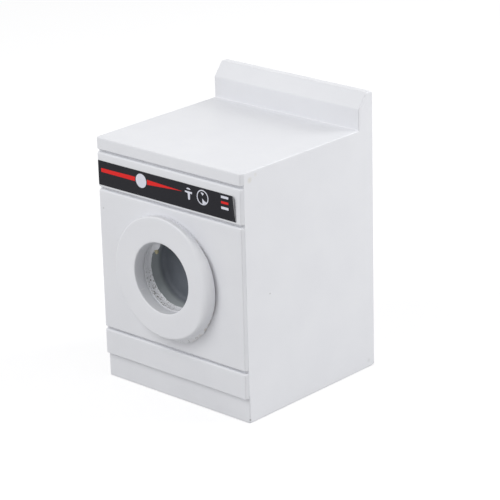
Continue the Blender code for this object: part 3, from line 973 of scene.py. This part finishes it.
def label_marks(white, red):
    """The printed marks: (name, outline, hole, ink)."""
    marks = [
        ("mark_red_bar", film_outline((1.03, 3.49), (12.9, 3.46), (12.95, 4.61), (1.03, 4.51)),
         None, red),
        ("mark_disc", circle(*DISC, DISC_RADIUS), None, white),
        ("mark_red_wedge", film_outline((17.1, 3.4), (29.0, 4.2), (17.1, 4.7)), None, red),
        ("mark_tap_knob", film_outline((30.4, 5.25), (30.88, 5.13), (31.75, 5.1), (31.88, 5.3),
                                       (31.35, 5.5), (30.9, 5.54)), None, white),
        ("mark_tap", film_outline((29.96, 4.66), (30.0, 4.27), (30.9, 4.14), (30.97, 2.62),
                                  (31.3, 2.5), (31.6, 2.62), (31.66, 4.18), (32.3, 4.1),
                                  (32.38, 4.62)), None, white),
        ("mark_dial", circle(*DIAL, DIAL_RADIUS), circle(*DIAL, DIAL_RADIUS - DIAL_LINE), white),
        ("mark_dial_pointer", film_outline((35.71, 3.78), (35.8, 2.25), (36.54, 2.3),
                                           (37.1, 3.0), (36.45, 3.2)), None, white),
        ("mark_dial_top", film_outline((35.25, 5.2), (35.6, 5.3), (36.3, 5.08), (35.88, 4.52)),
         None, white),
    ]
    for name, low, high, material in (
        ("mark_line_top", 5.26, 5.88, white), ("mark_line_middle", 3.9, 4.5, red),
        ("mark_line_bottom", 2.5, 3.13, white),
    ):
        lines = rectangle(*on_film(LINE_LEFT, low), *on_film(LINE_RIGHT, high))
        marks.append((name, lines, None, material))
    return marks


def print_mark(name, outline, hole, film_front):
    """A thin layer of ink on the sticker."""
    front = film_front - INK_RISE
    back = film_front + INK_DEPTH
    bm = prism(outline, front, back, along_y)
    slice_cells(bm, INK_CELL, INK_CELL / 8)
    obj = object_from(name, bm)
    if hole:
        cut_away(obj, object_from("hole", prism(hole, front - OVERRUN, back + OVERRUN, along_y)))
    make_uneven(obj)
    return obj


def dress_hinge(brass, steel):
    """The fine metal pieces of the hinge keep their own shape."""
    for node in ("hinge_leaf_panel", "hinge_leaf_door"):
        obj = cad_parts[node]
        obj.data.materials.clear()
        obj.data.materials.append(brass)
    for node in ("hinge_pin", "hinge_brad_panel_lower", "hinge_brad_panel_upper",
                 "hinge_brad_door_lower", "hinge_brad_door_upper"):
        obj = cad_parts[node]
        obj.data.materials.clear()
        obj.data.materials.append(steel)


# Studio

def seen_plainly(tree):
    """1 for camera, glossy and transmission rays, 0 for the rays that light the object."""
    path = add_node(tree, "ShaderNodeLightPath")
    plain = maths(tree, "MAXIMUM", path.outputs["Is Camera Ray"], path.outputs["Is Glossy Ray"])
    return maths(tree, "MAXIMUM", plain, path.outputs["Is Transmission Ray"])


FLOOR_HALF = 2.0
FLOOR_COLOUR = rgba((0.53, 0.53, 0.535))
FLOOR_GLOW = 0.55
WORLD_LIGHT = 0.56


def make_floor():
    bm = bmesh.new()
    bmesh.ops.create_grid(bm, x_segments=4, y_segments=4, size=FLOOR_HALF)
    mesh = bpy.data.meshes.new("floor")
    bm.to_mesh(mesh)
    bm.free()
    floor = bpy.data.objects.new("floor", mesh)
    STUDIO.objects.link(floor)
    mat = bpy.data.materials.new("floor")
    mat.use_nodes = True
    tree = mat.node_tree
    tree.nodes.clear()
    matt = add_node(tree, "ShaderNodeBsdfDiffuse", {"Color": FLOOR_COLOUR})
    glow = add_node(tree, "ShaderNodeEmission", {
        "Color": WHITE, "Strength": maths(tree, "MULTIPLY", seen_plainly(tree), FLOOR_GLOW)})
    both = add_node(tree, "ShaderNodeAddShader", {0: matt.outputs[0], 1: glow.outputs[0]})
    add_node(tree, "ShaderNodeOutputMaterial", {"Surface": both.outputs[0]})
    mesh.materials.append(mat)


def make_world():
    world = bpy.data.worlds.new("studio")
    bpy.context.scene.world = world
    world.use_nodes = True
    tree = world.node_tree
    tree.nodes.clear()
    light = add_node(tree, "ShaderNodeBackground", {"Color": WHITE, "Strength": WORLD_LIGHT})
    backdrop = add_node(tree, "ShaderNodeBackground", {"Color": WHITE, "Strength": 1.0})
    both = add_node(tree, "ShaderNodeMixShader", {
        0: seen_plainly(tree), 1: light.outputs[0], 2: backdrop.outputs[0]})
    add_node(tree, "ShaderNodeOutputWorld", {"Surface": both.outputs[0]})


def direction(azimuth, elevation):
    """Unit vector towards a place round the object; azimuth 0 is in front of it."""
    a, e = radians(azimuth), radians(elevation)
    return Vector((sin(a) * cos(e), -cos(a) * cos(e), sin(e)))


def softbox(name, azimuth, elevation, distance, size, power):
    data = bpy.data.lights.new(name, "AREA")
    data.shape = "SQUARE"
    data.size = size
    data.energy = power
    light = bpy.data.objects.new(name, data)
    STUDIO.objects.link(light)
    way = direction(azimuth, elevation)
    light.location = Vector(CAMERA_TARGET) + way * distance
    light.rotation_euler = way.to_track_quat("Z", "Y").to_euler()


def make_camera():
    data = bpy.data.cameras.new("camera")
    data.sensor_width = CAMERA_SENSOR
    data.sensor_fit = "HORIZONTAL"
    data.lens = CAMERA_LENS
    data.clip_start = 0.01
    camera = bpy.data.objects.new("camera", data)
    STUDIO.objects.link(camera)
    way = direction(CAMERA_AZIMUTH, CAMERA_ELEVATION)
    camera.location = Vector(CAMERA_TARGET) + way * CAMERA_DISTANCE
    upright = way.to_track_quat("Z", "Y").to_matrix().to_4x4()
    roll = Matrix.Rotation(radians(CAMERA_ROLL), 4, "Z")
    camera.rotation_euler = (upright @ roll).to_euler()
    bpy.context.scene.camera = camera


def make_studio():
    make_camera()
    make_floor()
    make_world()
    softbox("front_softbox", -12, 44, 0.7, 0.4, 2.0)
    softbox("right_softbox", 137, 24, 0.7, 0.4, 2.85)
    bpy.context.scene.view_settings.view_transform = "Standard"


SIDE_SPOTS = (
    ((RIGHT, -21.5 * MM, 62.7 * MM), 0.7 * MM, GLUE, 0.22),
    ((RIGHT, -19.4 * MM, 63.6 * MM), 0.45 * MM, GLUE, 0.13),
    ((RIGHT, -15.2 * MM, 31.9 * MM), 0.17 * MM, DIRT, 0.6),
    ((RIGHT, -23.4 * MM, 1.0 * MM), 0.3 * MM, DIRT, 0.5),
    ((RIGHT, 22.3 * MM, 2.0 * MM), 0.5 * MM, DIRT, 0.1),
)
FRONT_SPOTS = (
    ((-22.84 * MM, FRONT, 46.4 * MM), 0.25 * MM, DIRT, 0.25),
)


def build():
    white = paint("white_paint", SIDE_SPOTS)
    front_white = paint("front_paint", FRONT_SPOTS)
    cut_paint = rough_cut_paint()
    make_sides(white)
    make_cabinet(white, front_white, bare_wood(), cut_paint)
    make_facings(front_white, cut_paint)
    make_ring(ring_paint())
    make_drum(drum_grey())
    make_glue_bead(glue_yellow())
    make_label(label_black(), ink("white_ink", (0.78, 0.79, 0.87), (0.70, 0.71, 0.80)),
               ink("red_ink", (0.80, 0.024, 0.022), (0.72, 0.02, 0.02)))
    dress_hinge(metal("hinge_brass", (0.78, 0.60, 0.28), (0.55, 0.39, 0.16), 0.3),
                metal("pin_steel", (0.62, 0.62, 0.64), (0.42, 0.42, 0.43), 0.3))
    make_studio()


build()
